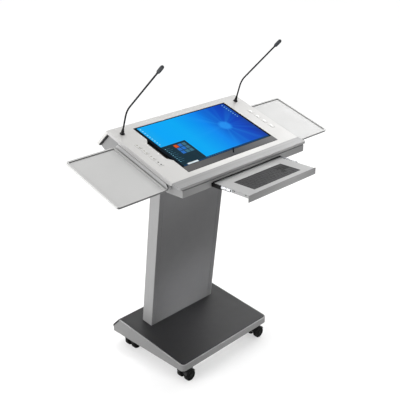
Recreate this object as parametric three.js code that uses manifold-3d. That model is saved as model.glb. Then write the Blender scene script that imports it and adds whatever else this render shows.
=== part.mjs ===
// A wheeled multimedia lectern: wedge base on four twin-wheel casters, forward-leaning column, sloped
// console with a touch screen, press keys, two gooseneck microphones, two folding side shelves and a
// pull-out keyboard drawer on telescopic slides.
// Millimetres. +Z up, X to the user's right, -Y towards the user. The origin is on the floor, in the
// middle of the plan outline. The drawer stands open and the shelves stand level with the console top.
import * as THREE from 'three';
import { mergeVertices } from 'three/addons/utils/BufferGeometryUtils.js';
import Module from 'manifold-3d';

const wasm = await Module();
wasm.setup();

// ---------------------------------------------------------------- driving dimensions
const GAP = 0.3; // clearance between touching pieces
const SHEET = 2.5; // folded sheet metal
const DEG = Math.PI / 180;

// Console top: a plane that rises away from the user.
const SLOPE = 17.84 * DEG;
const DESK_FRONT = { y: -138.7, z: 922.3 };
const DESK_LENGTH = 362.8;
const COVER_HALF = 352.2;
const COVER_FLANGE = 12;
const BODY_HALF = 341;
const FLOOR_Z = 874.4; // underside of the console
const FACE_Y = -178; // front face of the console body
const BODY_TOP_Z = 901.2; // top of that face, a shadow gap below the trim
const LIP = { y: -179.6, top: 914.5, bottom: 904.5 };
const REAR_ANGLE = -44.3 * DEG; // rear panel, down and away from the user
const REAR_LENGTH = 87.3;
const REAR_THICKNESS = 10.5;
const GASKET = 4.5;

// Touch screen.
const GLASS = { half: 250, v0: 23.9, v1: 331.7, thickness: 4, proud: 0.6, gap: 0.5 };
const MODULE = { x0: -276, x1: 264, v0: 15, v1: 341, top: -4.4, bottom: -32 };
const RECESS = { depth: 14, wide: [104, 251], narrow: [125, 230], reach: 18 };

// Press keys, four on each side of the screen.
const KEY_X = 311;
const KEY_V = [111.5, 150.5, 189.5, 229];
const KEY = { x: 18, v: 29, r: 4, proud: 0.8, depth: 6, gap: 0.4, collar: 1.2, collarTop: -3 };

// Microphones.
const MIC = {
  x: 312, v: 320.5, pivot: 27.3, elbow: 99, upper: 237, bend: 27.8 * DEG, r: 2.9, ballR: 3.3, head: 39,
  headR: 6.9,
};

// Folding side shelves, in the sloped frame of the console.
const SHELF = {
  x0: 363.6, x1: 580.7, v0: 7, v1: 296.4, top: -28.5, thickness: 8, rim: 7, recess: 3.5, hollow: 2.8,
};
const RAIL = { x1: 358, v0: 9, v1: 294, n: -27.5, height: 22 };
const HINGE = { x: 362.6, n: -41.2, pinR: 2.2, boreR: 2.35, barrelR: 4.2, knuckles: 5, inset: 10 };

// Keyboard drawer and its telescopic slides.
const DRAWER = { half: 186, front: -347.4, back: -100, deck: 888, bottom: 874.6, sheet: 1.5 };
const FASCIA = { half: 191.8, thickness: 2.5, z0: 862.7, z1: 888.7 };
const BAY = { half: 198, top: 891, back: 80 };
const KEYBOARD = { half: 132.5, y0: -321, y1: -225, depth: 11, gap: 0.5 };
const SLIDE_Z = 883;

// Members of each slide, as distances from the middle plane: the edge of the lips and both faces of the web.
const SLIDES = {
  outer: { lip: 190.4, web: [195.6, 197.4], half: 8.8, wall: 1.2, y: [-172, 78], finish: 'zinc' },
  cage: { lip: 190.4, web: [193.2, 195.2], half: 7.3, wall: 1.1, y: [-219, -60], finish: 'blackPlastic' },
  middle: { lip: 189.2, web: [191.4, 192.8], half: 5.9, wall: 1.1, y: [-261, -21], finish: 'zinc' },
  inner: { lip: 187.4, web: [189.4, 190.8], half: 4.5, wall: 1.2, y: [-268, -104], finish: 'zinc' },
};
const SLIDE_SEAT = [186.3, 187.9]; // strip that closes the inner member against the tray

// Column.
const COLUMN = { half: 185.3, depth: 55.8, yAtFloor: 197.7, lean: 0.1175, panel: 3 };
const DOOR = { half: 140, z0: 200, z1: 800, overlap: 8, thickness: 2 }; // service cover at the back

// Base: a wedge that rises to the back, with a sloped back edge.
const BASE = {
  half: 261.9, front: -89.7, ridge: 306.5, back: 348.8, z0: 61.9, zFront: 92.5, zRidge: 136.9, zBack: 93,
  corner: 18, rearCorner: 5,
};
const BASE_PLATE = { inset: 5, thickness: 3, corner: 13 }; // a ledge shows round it as far as the ridge
const BASE_WALL = 3;

// Casters.
const CASTER = {
  stemX: 199, trail: 18, y: [-60, 266.7], wheelR: 25, wheelWidth: 18, spacing: 40, plate: 20,
  plateThickness: 2.7, stemR: 4, stemFoot: 33, collarR: 9, collarFoot: 56, forkTop: 55.5, fenderGap: 1.4,
  fender: 2, axleR: 3, sides: 24,
};

// ---------------------------------------------------------------- solids
function toSolid(geometry) {
  const bare = geometry.clone();
  bare.deleteAttribute('normal');
  bare.deleteAttribute('uv');
  const merged = mergeVertices(bare, 1e-4);
  const index = merged.index.array;
  const triangles = [];
  for (let i = 0; i < index.length; i += 3) {
    const [a, b, c] = [index[i], index[i + 1], index[i + 2]];
    if (a !== b && b !== c && c !== a) triangles.push(a, b, c);
  }
  return new wasm.Manifold(new wasm.Mesh({
    numProp: 3,
    vertProperties: new Float32Array(merged.attributes.position.array),
    triVerts: new Uint32Array(triangles),
  }));
}

function toGeometry(solid) {
  const mesh = solid.getMesh();
  const geometry = new THREE.BufferGeometry();
  geometry.setAttribute('position', new THREE.BufferAttribute(new Float32Array(mesh.vertProperties), 3));
  geometry.setIndex(new THREE.BufferAttribute(new Uint32Array(mesh.triVerts), 1));
  geometry.computeVertexNormals();
  return geometry;
}

function shapeOf(points) {
  return new THREE.Shape(points.map(([a, b]) => new THREE.Vector2(a, b)));
}

function extrude(shape, depth, basis, origin) {
  const geometry = new THREE.ExtrudeGeometry(shape, { depth, bevelEnabled: false, curveSegments: 6 });
  const matrix = new THREE.Matrix4().makeBasis(...basis.map((axis) => new THREE.Vector3(...axis)));
  geometry.applyMatrix4(matrix.setPosition(...origin));
  return toSolid(geometry);
}

// Outline in (y, z), extruded along X.
function prismX(points, x0, x1) {
  return extrude(shapeOf(points), x1 - x0, [[0, 1, 0], [0, 0, 1], [1, 0, 0]], [x0, 0, 0]);
}

// Outline in (x, z), extruded along Y.
function prismY(points, y0, y1) {
  return extrude(shapeOf(points), y1 - y0, [[1, 0, 0], [0, 0, 1], [0, -1, 0]], [0, y1, 0]);
}

// Outline in (x, y), extruded along Z.
function prismZ(points, z0, z1) {
  return extrude(shapeOf(points), z1 - z0, [[1, 0, 0], [0, 1, 0], [0, 0, 1]], [0, 0, z0]);
}

function block(x0, x1, y0, y1, z0, z1) {
  const box = new THREE.BoxGeometry(x1 - x0, y1 - y0, z1 - z0);
  box.translate((x0 + x1) / 2, (y0 + y1) / 2, (z0 + z1) / 2);
  return toSolid(box);
}

// Polygon whose corners are rounded with arcs of their own radius: entries are [a, b, radius].
function rounded(corners, steps = 4) {
  const points = [];
  corners.forEach(([a, b, radius = 0], i) => {
    if (!radius) {
      points.push([a, b]);
      return;
    }
    const corner = new THREE.Vector2(a, b);
    const before = new THREE.Vector2(...corners.at(i - 1).slice(0, 2)).sub(corner).normalize();
    const after = new THREE.Vector2(...corners[(i + 1) % corners.length].slice(0, 2)).sub(corner).normalize();
    const half = Math.acos(before.dot(after)) / 2;
    const reach = radius / Math.tan(half);
    const centre = before.clone().add(after).normalize().multiplyScalar(radius / Math.sin(half)).add(corner);
    const start = before.multiplyScalar(reach).add(corner).sub(centre);
    const end = after.multiplyScalar(reach).add(corner).sub(centre);
    const turn = Math.atan2(start.x * end.y - start.y * end.x, start.dot(end));
    for (let k = 0; k <= steps; k += 1) {
      const point = start.clone().rotateAround(new THREE.Vector2(), (turn * k) / steps).add(centre);
      points.push([point.x, point.y]);
    }
  });
  return points;
}

function rectangle(a0, a1, b0, b1, radius = 0) {
  return rounded([[a0, b0, radius], [a1, b0, radius], [a1, b1, radius], [a0, b1, radius]]);
}

function circle(a, b, radius, sides) {
  return Array.from({ length: sides }, (_, i) => {
    const angle = (2 * Math.PI * (i + 0.5)) / sides;
    return [a + radius * Math.cos(angle), b + radius * Math.sin(angle)];
  });
}

// Solid of revolution about local Z from a closed (radius, height) profile.
function turned(profile, sides) {
  const points = profile.map(([r, h]) => new THREE.Vector2(r, h));
  const geometry = new THREE.LatheGeometry(points, sides, Math.PI / sides);
  geometry.rotateX(Math.PI / 2);
  const solid = toSolid(geometry);
  return solid.volume() < 0 ? toSolid(flipped(geometry)) : solid;
}

function flipped(geometry) {
  const copy = geometry.clone();
  const index = copy.index.array;
  for (let i = 0; i < index.length; i += 3) [index[i + 1], index[i + 2]] = [index[i + 2], index[i + 1]];
  return copy;
}

function mirrored(points) {
  return points.map(([a, b]) => [-a, b]).reverse();
}

function subtractAll(solid, cutters) {
  return cutters.reduce((rest, cutter) => rest.subtract(cutter), solid);
}

function addAll(solids) {
  return solids.reduce((sum, next) => sum.add(next));
}

// ---------------------------------------------------------------- materials
const FINISHES = {
  lightPaint: { color: 0xdcdcda, roughness: 0.42, metalness: 0.1 },
  silverPaint: { color: 0xa6a7a7, roughness: 0.4, metalness: 0.55 },
  brushed: { color: 0xb6b6b6, roughness: 0.35, metalness: 0.8 },
  darkPaint: { color: 0x4e4f51, roughness: 0.38, metalness: 0.45 },
  basePaint: { color: 0x333334, roughness: 0.42, metalness: 0.3 },
  blackPlastic: { color: 0x151515, roughness: 0.5, metalness: 0 },
  tyre: { color: 0x0c0c0c, roughness: 0.65, metalness: 0 },
  zinc: { color: 0xd8dadb, roughness: 0.25, metalness: 0.95 },
  glass: { color: 0x10151c, roughness: 0.08, metalness: 0 },
  keyboard: { color: 0x3c3c3d, roughness: 0.6, metalness: 0 },
};

const lectern = new THREE.Group();

function put(parent, name, solid, finish) {
  const mesh = new THREE.Mesh(toGeometry(solid), new THREE.MeshStandardMaterial(FINISHES[finish]));
  mesh.name = name;
  parent.add(mesh);
  return mesh;
}

// Frame of the console top: x, v along the slope from its front edge, n out of the surface.
const desk = new THREE.Group();
desk.position.set(0, DESK_FRONT.y, DESK_FRONT.z);
desk.rotation.x = SLOPE;
lectern.add(desk);

// The world (y, z) of a point of the console top's frame.
function deskPoint(v, n) {
  return [
    DESK_FRONT.y + v * Math.cos(SLOPE) - n * Math.sin(SLOPE),
    DESK_FRONT.z + v * Math.sin(SLOPE) + n * Math.cos(SLOPE),
  ];
}

// A world (y, z) point in the frame of the console top, as (v, n).
function deskLocal([y, z]) {
  const [dy, dz] = [y - DESK_FRONT.y, z - DESK_FRONT.z];
  return [dy * Math.cos(SLOPE) + dz * Math.sin(SLOPE), dz * Math.cos(SLOPE) - dy * Math.sin(SLOPE)];
}

// Point at a distance along the rear slope, measured from the ridge, and at a depth under its face.
function rearPoint(along, depth) {
  const [y, z] = deskPoint(DESK_LENGTH, 0);
  return [
    y + along * Math.cos(REAR_ANGLE) + depth * Math.sin(REAR_ANGLE),
    z + along * Math.sin(REAR_ANGLE) - depth * Math.cos(REAR_ANGLE),
  ];
}

// Where the line at a depth under the rear slope meets the plane at n under the console top.
function ridgePoint(depth, n) {
  const [v0, n0] = deskLocal(rearPoint(0, depth));
  const [v1, n1] = deskLocal(rearPoint(REAR_LENGTH, depth));
  const share = (n - n0) / (n1 - n0);
  return deskPoint(v0 + share * (v1 - v0), n);
}

// ---------------------------------------------------------------- base and casters
const baseTopSlope = (BASE.zRidge - BASE.zFront) / (BASE.ridge - BASE.front);

function baseTop(y) {
  return BASE.zFront + (y - BASE.front) * baseTopSlope;
}

function makeBase() {
  const side = [
    [BASE.front, BASE.z0],
    [BASE.back, BASE.z0],
    [BASE.back, BASE.zBack],
    [BASE.ridge, BASE.zRidge],
    [BASE.front, BASE.zFront],
  ];
  const { inset, thickness, corner } = BASE_PLATE;
  const wedge = prismX(side, -BASE.half, BASE.half);
  const rearCorners = [
    [BASE.half, BASE.back, BASE.rearCorner],
    [-BASE.half, BASE.back, BASE.rearCorner],
  ];
  const outline = prismZ(rounded([
    [-BASE.half, BASE.front, BASE.corner],
    [BASE.half, BASE.front, BASE.corner],
    ...rearCorners,
  ]), 0, 200);
  const rearSlope = (BASE.zRidge - BASE.zBack) / (BASE.back - BASE.ridge);
  const [ahead, behind] = [BASE.front - 20, BASE.back + 20];
  const above = (drop) => prismX([
    [ahead, baseTop(ahead) - drop],
    [BASE.ridge, BASE.zRidge - drop],
    [behind, BASE.zRidge - drop - (behind - BASE.ridge) * rearSlope],
    [behind, 200],
    [ahead, 200],
  ], -BASE.half - 1, BASE.half + 1);
  const hollow = prismX([
    [BASE.front + BASE_WALL + inset, BASE.z0 + BASE_WALL],
    [BASE.back - BASE_WALL, BASE.z0 + BASE_WALL],
    [BASE.back - BASE_WALL, BASE.zBack - 8],
    [BASE.ridge, BASE.zRidge],
    [BASE.ridge, 200],
    [BASE.front + BASE_WALL + inset, 200],
  ], -BASE.half + BASE_WALL + inset, BASE.half - BASE_WALL - inset);
  const inletHole = block(INLET.x0 - GAP, INLET.x1 + GAP, BASE.back - 10, BASE.back + 5, INLET.z0 - GAP,
    INLET.z1 + GAP);
  const tray = subtractAll(wedge.intersect(outline), [above(thickness), hollow, inletHole]);
  put(lectern, 'base_tray', tray, 'silverPaint');

  const plateOutline = prismZ(rounded([
    [-BASE.half + inset, BASE.front + inset, corner],
    [BASE.half - inset, BASE.front + inset, corner],
    [BASE.half - inset, BASE.ridge],
    [BASE.half, BASE.ridge],
    ...rearCorners,
    [-BASE.half, BASE.ridge],
    [-BASE.half + inset, BASE.ridge],
  ]), 0, 200);
  const plate = wedge.intersect(above(thickness - GAP)).intersect(plateOutline);
  put(lectern, 'base_top_plate', plate, 'basePaint');
}

// Mains inlet in the back of the base.
const INLET = { x0: -13.7, x1: 13.7, z0: 68, z1: 87.5, depth: 20, wall: 2, cavity: 14 };
const BLADE = { x: [-7, 0, 7], z: [76, 80], half: 1, tip: 6 };

function makeInlet() {
  const front = BASE.back - GAP;
  const body = block(INLET.x0, INLET.x1, front - INLET.depth, front, INLET.z0, INLET.z1);
  const socket = block(INLET.x0 + INLET.wall, INLET.x1 - INLET.wall, front - INLET.cavity, front + 5,
    INLET.z0 + INLET.wall, INLET.z1 - INLET.wall);
  const blades = BLADE.x.map((x) => block(x - BLADE.half, x + BLADE.half, front - INLET.cavity - 1,
    front - BLADE.tip, ...BLADE.z));
  put(lectern, 'power_inlet', addAll([body.subtract(socket), ...blades]), 'blackPlastic');
}

// One twin-wheel caster: plate with stem, fork with axle, two wheels side by side along Y.
function makeCaster(name, stemX, y, trail) {
  const group = new THREE.Group();
  group.position.set(stemX, y, 0);
  lectern.add(group);
  const half = CASTER.spacing / 2;
  const plateZ = BASE.z0 - GAP;
  const plate = prismZ(rectangle(-CASTER.plate, CASTER.plate, -CASTER.plate, CASTER.plate, 4),
    plateZ - CASTER.plateThickness, plateZ);
  const stem = prismZ(circle(0, 0, CASTER.stemR, 12), CASTER.stemFoot, plateZ - 2);
  const collar = prismZ(circle(0, 0, CASTER.collarR, 16), CASTER.collarFoot, plateZ - 2);
  put(group, `${name}_plate`, addAll([plate, stem, collar]), 'zinc');

  const [s, r] = [Math.sign(trail), CASTER.wheelR];
  const cheek = rounded([
    [-s * 11, CASTER.forkTop, 3],
    [-s * 11, 31, 8],
    [trail - s * 4, r - 9, 6],
    [trail + s * 9, r - 6, 6],
    [trail + s * 9, r + 22, 8],
    [s * 11, CASTER.forkTop, 3],
  ]);
  const bodyPoints = s > 0 ? cheek : cheek.slice().reverse();
  const gapY = half - CASTER.wheelWidth / 2 - 0.6;
  const body = prismY(bodyPoints, -gapY, gapY);
  const hood = r + CASTER.fenderGap;
  const band = arcBand(trail, r, hood, hood + CASTER.fender, 20 * DEG, 160 * DEG, 10);
  const fender = prismY(band, -half - 8, half + 8);
  const trimmed = fender.intersect(block(-60, 60, -40, 40, 0, CASTER.forkTop));
  const axle = prismY(circle(trail, r, CASTER.axleR, 12), -half - 9.5, half + 9.5);
  const bore = prismZ(circle(0, 0, CASTER.stemR + GAP, 12), CASTER.stemFoot - 1, 60);
  put(group, `${name}_fork`, addAll([body, trimmed, axle]).subtract(bore), 'blackPlastic');

  const rim = r / Math.cos(Math.PI / CASTER.sides); // the flats, not the edges, touch the floor
  const wheel = turned([
    [3.4, -9], [10, -9], [11, -6], [20, -6], [21, -9], [rim - 1, -9], [rim, -8],
    [rim, 8], [rim - 1, 9], [21, 9], [20, 6], [11, 6], [10, 9], [3.4, 9], [3.4, -9],
  ], CASTER.sides);
  [-half, half].forEach((offset, i) => {
    const mesh = put(group, `${name}_wheel_${i + 1}`, wheel, 'tyre');
    mesh.rotation.x = Math.PI / 2;
    mesh.position.set(trail, offset, r);
  });
}

// Band between two radii, as an outline in (a, b).
function arcBand(a, b, inner, outer, from, to, steps) {
  const at = (radius, k) => {
    const angle = from + ((to - from) * k) / steps;
    return [a + radius * Math.cos(angle), b + radius * Math.sin(angle)];
  };
  const ks = Array.from({ length: steps + 1 }, (_, k) => k);
  return [...ks.map((k) => at(outer, k)), ...ks.reverse().map((k) => at(inner, k))];
}

function makeCasters() {
  const [front, rear] = CASTER.y;
  makeCaster('caster_front_left', -CASTER.stemX, front, -CASTER.trail);
  makeCaster('caster_front_right', CASTER.stemX, front, CASTER.trail);
  makeCaster('caster_rear_left', -CASTER.stemX, rear, -CASTER.trail);
  makeCaster('caster_rear_right', CASTER.stemX, rear, CASTER.trail);
}

// ---------------------------------------------------------------- column
function columnFront(z) {
  return COLUMN.yAtFloor - COLUMN.lean * z;
}

// Outline in (y, z) of the column between two depths behind its front face.
function columnSlice(depth0, depth1, topZ, lift) {
  const foot = (depth) => {
    const z = (BASE.zFront + (COLUMN.yAtFloor + depth - BASE.front) * baseTopSlope) /
      (1 + COLUMN.lean * baseTopSlope) + lift;
    return [columnFront(z) + depth, z];
  };
  return [foot(depth0), foot(depth1), [columnFront(topZ) + depth1, topZ], [columnFront(topZ) + depth0, topZ]];
}

function makeColumn() {
  const top = FLOOR_Z - GAP;
  const wall = SHEET;
  const shell = prismX(columnSlice(0, COLUMN.depth, top, GAP), -COLUMN.half, COLUMN.half);
  const inside = prismX(columnSlice(-10, COLUMN.depth - wall, top + 50, -50), -COLUMN.half + wall,
    COLUMN.half - wall);
  const doorway = prismX([
    [columnFront(DOOR.z0) + 40, DOOR.z0],
    [columnFront(DOOR.z0) + 80, DOOR.z0],
    [columnFront(DOOR.z1) + 80, DOOR.z1],
    [columnFront(DOOR.z1) + 40, DOOR.z1],
  ], -DOOR.half + DOOR.overlap, DOOR.half - DOOR.overlap);
  put(lectern, 'column_shell', subtractAll(shell, [inside, doorway]), 'silverPaint');

  const panel = prismX(columnSlice(0, COLUMN.panel, top, GAP), -COLUMN.half + wall + GAP,
    COLUMN.half - wall - GAP);
  put(lectern, 'column_front_panel', panel, 'darkPaint');

  const [inner, outer] = [COLUMN.depth + GAP, COLUMN.depth + GAP + DOOR.thickness];
  const cover = prismX([
    [columnFront(DOOR.z0) + inner, DOOR.z0],
    [columnFront(DOOR.z0) + outer, DOOR.z0],
    [columnFront(DOOR.z1) + outer, DOOR.z1],
    [columnFront(DOOR.z1) + inner, DOOR.z1],
  ], -DOOR.half, DOOR.half);
  put(lectern, 'column_rear_cover', cover, 'silverPaint');
}

// ---------------------------------------------------------------- console
const GLASS_HOLE = GLASS.half + GLASS.gap;

function recessOutline(margin) {
  return [
    [-GLASS.half + 20, RECESS.wide[0] - margin],
    [-GLASS.half + 20, RECESS.wide[1] + margin],
    [-GLASS.half, RECESS.wide[1] + margin],
    [-GLASS.half - RECESS.reach - margin, RECESS.narrow[1] + margin],
    [-GLASS.half - RECESS.reach - margin, RECESS.narrow[0] - margin],
    [-GLASS.half, RECESS.wide[0] - margin],
  ].reverse();
}

function keyOutline(side, v, margin) {
  const x = side * KEY_X;
  return rectangle(x - KEY.x / 2 - margin, x + KEY.x / 2 + margin, v - KEY.v / 2 - margin,
    v + KEY.v / 2 + margin, KEY.r + margin);
}

function eachKey(action) {
  [['left', -1], ['right', 1]].forEach(([word, side]) => {
    KEY_V.forEach((v, i) => action(`key_${word}_${i + 1}`, side, v));
  });
}

function makeCover() {
  const half = COVER_HALF;
  const flange = prismY(rounded([
    [-half, -COVER_FLANGE],
    [-half + SHEET, -COVER_FLANGE],
    [-half + SHEET, -SHEET],
    [half - SHEET, -SHEET],
    [half - SHEET, -COVER_FLANGE],
    [half, -COVER_FLANGE],
    [half, 0, 4],
    [-half, 0, 4],
  ]), 0, DESK_LENGTH + 20);
  const cut = [
    prismZ(rectangle(-GLASS_HOLE, GLASS_HOLE, GLASS.v0 - GLASS.gap, GLASS.v1 + GLASS.gap), -20, 20),
    prismZ(recessOutline(0), -20, 20),
    prismZ(circle(-MIC.x, MIC.v, 5, 16), -20, 20),
    prismZ(circle(MIC.x, MIC.v, 5, 16), -20, 20),
  ];
  eachKey((name, side, v) => cut.push(prismZ(keyOutline(side, v, KEY.gap), -20, 20)));
  const upper = [deskPoint(-10, -SHEET), deskPoint(-10, 30), rearPoint(-60, -60), rearPoint(-10, 0)];
  const plateLimit = [...upper, ridgePoint(0, -SHEET)];
  const flangeLimit = [deskPoint(-10, -SHEET), ridgePoint(REAR_THICKNESS + GAP, -SHEET),
    rearPoint(60, REAR_THICKNESS + GAP), deskPoint(-10, -60)];
  const limit = addAll([
    prismX(plateLimit.map(deskLocal).reverse(), -400, 400),
    prismX(flangeLimit.map(deskLocal), -400, 400),
  ]);
  put(desk, 'console_top_cover', subtractAll(flange, cut).intersect(limit), 'lightPaint');
}

function makeFrontTrim() {
  const [startY, startZ] = deskPoint(-GAP, 0);
  const [underY, underZ] = deskPoint(-GAP, -COVER_FLANGE + 1);
  const trim = prismX(rounded([
    [LIP.y, LIP.bottom, 1],
    [underY, underZ],
    [startY, startZ],
    [LIP.y, LIP.top, 2.5],
  ]), -COVER_HALF, COVER_HALF);
  const corner = prismZ(rounded([
    [-COVER_HALF, LIP.y, 7],
    [COVER_HALF, LIP.y, 7],
    [COVER_HALF, 0],
    [-COVER_HALF, 0],
  ]), 850, 1000);
  put(lectern, 'console_front_trim', trim.intersect(corner), 'brushed');
}

function consoleProfile(inset) {
  const under = -SHEET - GAP - inset;
  const rearDepth = REAR_THICKNESS + GASKET + 2 * GAP + inset;
  return [
    [FACE_Y + inset, FLOOR_Z + inset],
    [157 - inset * 0.4, FLOOR_Z + inset],
    [240, 950.5 + inset * 1.15],
    rearPoint(REAR_LENGTH - 2 - inset, rearDepth),
    ridgePoint(rearDepth, under),
    deskPoint(GAP + inset, under),
    deskPoint(GAP + inset, -COVER_FLANGE - 2 - inset),
    [FACE_Y + inset, BODY_TOP_Z - inset],
  ];
}

function makeConsoleBody() {
  const outer = prismX(consoleProfile(0), -BODY_HALF, BODY_HALF);
  const inner = prismX(consoleProfile(SHEET), -BODY_HALF + SHEET, BODY_HALF - SHEET);
  const lid = prismX([deskPoint(6, -40), deskPoint(345, -40), deskPoint(345, 20), deskPoint(6, 20)],
    -BODY_HALF + 12, BODY_HALF - 12);
  const bay = block(-BAY.half, BAY.half, FACE_Y - 10, BAY.back, FLOOR_Z - 10, BAY.top);
  const cheeks = [-1, 1].map((side) => {
    const [a, b] = [side * BAY.half, side * (BAY.half + SHEET)];
    return block(Math.min(a, b), Math.max(a, b), FACE_Y + 1, BAY.back, FLOOR_Z, BAY.top + 4);
  });
  const body = addAll([subtractAll(outer, [inner, lid, bay]), ...cheeks]);
  put(lectern, 'console_body', body, 'silverPaint');
}

function makeRearPanel() {
  const panel = prismX([
    ridgePoint(0, -SHEET - GAP),
    ridgePoint(REAR_THICKNESS, -SHEET - GAP),
    rearPoint(REAR_LENGTH, REAR_THICKNESS),
    rearPoint(REAR_LENGTH, 0),
  ], -COVER_HALF, COVER_HALF);
  put(lectern, 'console_rear_panel', panel, 'lightPaint');
  const [near, far] = [REAR_THICKNESS + GAP, REAR_THICKNESS + GASKET + GAP];
  const gasket = prismX([
    ridgePoint(near, -COVER_FLANGE - 2),
    ridgePoint(far, -COVER_FLANGE - 2),
    rearPoint(REAR_LENGTH - 2, far),
    rearPoint(REAR_LENGTH - 2, near),
  ], -BODY_HALF - 8, BODY_HALF + 8);
  put(lectern, 'console_rear_gasket', gasket, 'blackPlastic');
}

function makeScreen() {
  const top = GLASS.proud;
  const glass = prismZ(rectangle(-GLASS.half, GLASS.half, GLASS.v0, GLASS.v1, 2), top - GLASS.thickness, top);
  put(desk, 'display_glass', glass, 'glass');
  const housing = prismZ(rectangle(MODULE.x0, MODULE.x1, MODULE.v0, MODULE.v1, 3), MODULE.bottom, MODULE.top);
  const pocket = prismZ(recessOutline(0.4), -RECESS.depth, 5);
  put(desk, 'display_module', housing.subtract(pocket), 'blackPlastic');
}

function makeKeys() {
  eachKey((name, side, v) => {
    const cap = prismZ(keyOutline(side, v, 0), -KEY.depth, KEY.proud);
    const collar = prismZ(keyOutline(side, v, KEY.collar), -KEY.depth, KEY.collarTop);
    put(desk, name, cap.add(collar), 'lightPaint');
  });
}

// ---------------------------------------------------------------- microphones
// Straight stretch of gooseneck with a ball at its lower end, where it bends.
function neckStretch(ballHeight, top) {
  const ball = Array.from({ length: 7 }, (_, i) => {
    const angle = -Math.PI / 2 + (i * 120 * DEG) / 6;
    return [i === 0 ? 0 : MIC.ballR * Math.cos(angle), ballHeight + MIC.ballR * Math.sin(angle)];
  });
  return turned([...ball, [MIC.r, ballHeight + MIC.ballR], [MIC.r, top], [0, top]], 12);
}

function makeMicrophone(word, side) {
  const name = `mic_${word}`;
  const mic = new THREE.Group();
  mic.position.set(side * MIC.x, MIC.v, 0);
  desk.add(mic);
  const base = turned([
    [0, -14], [4.6, -14], [4.6, GAP], [9, GAP], [9, 3], [6.4, 4.5], [4.6, 14], [3.8, 23], [0, 23],
  ], 16);
  put(mic, `${name}_base`, base, 'blackPlastic');
  put(mic, `${name}_neck_lower`, neckStretch(MIC.pivot, MIC.elbow - MIC.ballR - GAP), 'blackPlastic');

  const elbow = new THREE.Group();
  elbow.position.set(0, 0, MIC.elbow);
  elbow.rotation.x = MIC.bend;
  mic.add(elbow);
  put(elbow, `${name}_neck_upper`, neckStretch(0, MIC.upper), 'blackPlastic');

  const foot = MIC.upper + GAP;
  const head = turned([
    [0, foot], [3.6, foot], [MIC.headR - 1, foot + 4], [MIC.headR, foot + 6],
    [MIC.headR, foot + MIC.head - 5], [MIC.headR - 1.6, foot + MIC.head - 1.2],
    [MIC.headR - 4, foot + MIC.head], [0, foot + MIC.head],
  ], 20);
  put(elbow, `${name}_head`, head, 'blackPlastic');
}

// ---------------------------------------------------------------- side shelves
// Stretches of the hinge line that belong to the rail (odd) or to the shelf (even).
function knuckles(own) {
  const length = (RAIL.v1 - RAIL.v0 - 2 * HINGE.inset) / HINGE.knuckles;
  return Array.from({ length: HINGE.knuckles }, (_, i) => i).filter((i) => (i % 2 === 0) === own).map((i) => {
    const v0 = RAIL.v0 + HINGE.inset + i * length + GAP;
    return [v0, v0 + length - 2 * GAP];
  });
}

// Room that one leaf leaves for the other leaf's knuckles.
function knuckleRoom(side, own) {
  const outline = circle(side * HINGE.x, HINGE.n, HINGE.barrelR + 2 * GAP, 16);
  return knuckles(own).map(([v0, v1]) => prismY(outline, v0 - 2 * GAP, v1 + 2 * GAP));
}

function makeShelf(word, side) {
  const span = (a, b) => [Math.min(side * a, side * b), Math.max(side * a, side * b)];
  const bottom = SHELF.top - SHELF.thickness;
  const [near, far] = [side * SHELF.x0, side * SHELF.x1];
  const outline = (margin, radius) => {
    const corners = [
      [near + side * margin, SHELF.v0 + margin, 1],
      [far - side * margin, SHELF.v0 + margin, radius],
      [far - side * margin, SHELF.v1 - margin, radius],
      [near + side * margin, SHELF.v1 - margin, 1],
    ];
    return rounded(side > 0 ? corners : corners.reverse());
  };
  const board = prismZ(outline(0, 12), bottom, SHELF.top);
  const well = prismZ(outline(SHELF.rim, 6), SHELF.top - SHELF.recess, SHELF.top + 5);
  const under = prismZ(outline(SHELF.rim, 6), bottom - 5, bottom + SHELF.hollow)
    .subtract(block(...span(SHELF.x0, SHELF.x0 + 20), 0, 400, bottom - 10, SHELF.top));
  const feet = knuckles(false).map(([v0, v1]) => addAll([
    prismY(circle(side * HINGE.x, HINGE.n, HINGE.barrelR, 16), v0, v1),
    block(...span(HINGE.x, SHELF.x0 + 12), v0, v1, HINGE.n + 1, bottom + 1),
  ]));
  const bore = prismY(circle(side * HINGE.x, HINGE.n, HINGE.boreR, 12), RAIL.v0 - HINGE.inset,
    RAIL.v1 + HINGE.inset);
  const pan = addAll([subtractAll(board, [well, under]), ...feet]);
  put(desk, `shelf_${word}`, subtractAll(pan, [bore, ...knuckleRoom(side, true)]), 'lightPaint');

  const r = RAIL.height / 2;
  const [in0, in1] = span(BODY_HALF + GAP, RAIL.x1);
  const slot = rectangle(RAIL.v0, RAIL.v1, RAIL.n - r, RAIL.n + r, r - 0.01);
  const bar = prismX(slot, in0, in1);
  const fingers = knuckles(true).map(([v0, v1]) => addAll([
    prismY(circle(side * HINGE.x, HINGE.n, HINGE.barrelR, 16), v0, v1),
    block(...span(RAIL.x1 - 4, HINGE.x), v0, v1, HINGE.n - 1, HINGE.n + 6),
  ]));
  const pin = prismY(circle(side * HINGE.x, HINGE.n, HINGE.pinR, 12), RAIL.v0 + HINGE.inset,
    RAIL.v1 - HINGE.inset);
  const rail = addAll([subtractAll(addAll([bar, ...fingers]), knuckleRoom(side, false)), pin]);
  put(desk, `shelf_rail_${word}`, rail, 'silverPaint');
}

// ---------------------------------------------------------------- keyboard drawer
// Channel with two lips, open towards the drawer; distances from the middle plane grow outward.
function channel(side, { lip, web, half, wall, y }) {
  const points = [
    [lip, SLIDE_Z - half],
    [web[1], SLIDE_Z - half],
    [web[1], SLIDE_Z + half],
    [lip, SLIDE_Z + half],
    [lip, SLIDE_Z + half - wall],
    [web[0], SLIDE_Z + half - wall],
    [web[0], SLIDE_Z - half + wall],
    [lip, SLIDE_Z - half + wall],
  ];
  return prismY(side > 0 ? points : mirrored(points), ...y);
}

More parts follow.
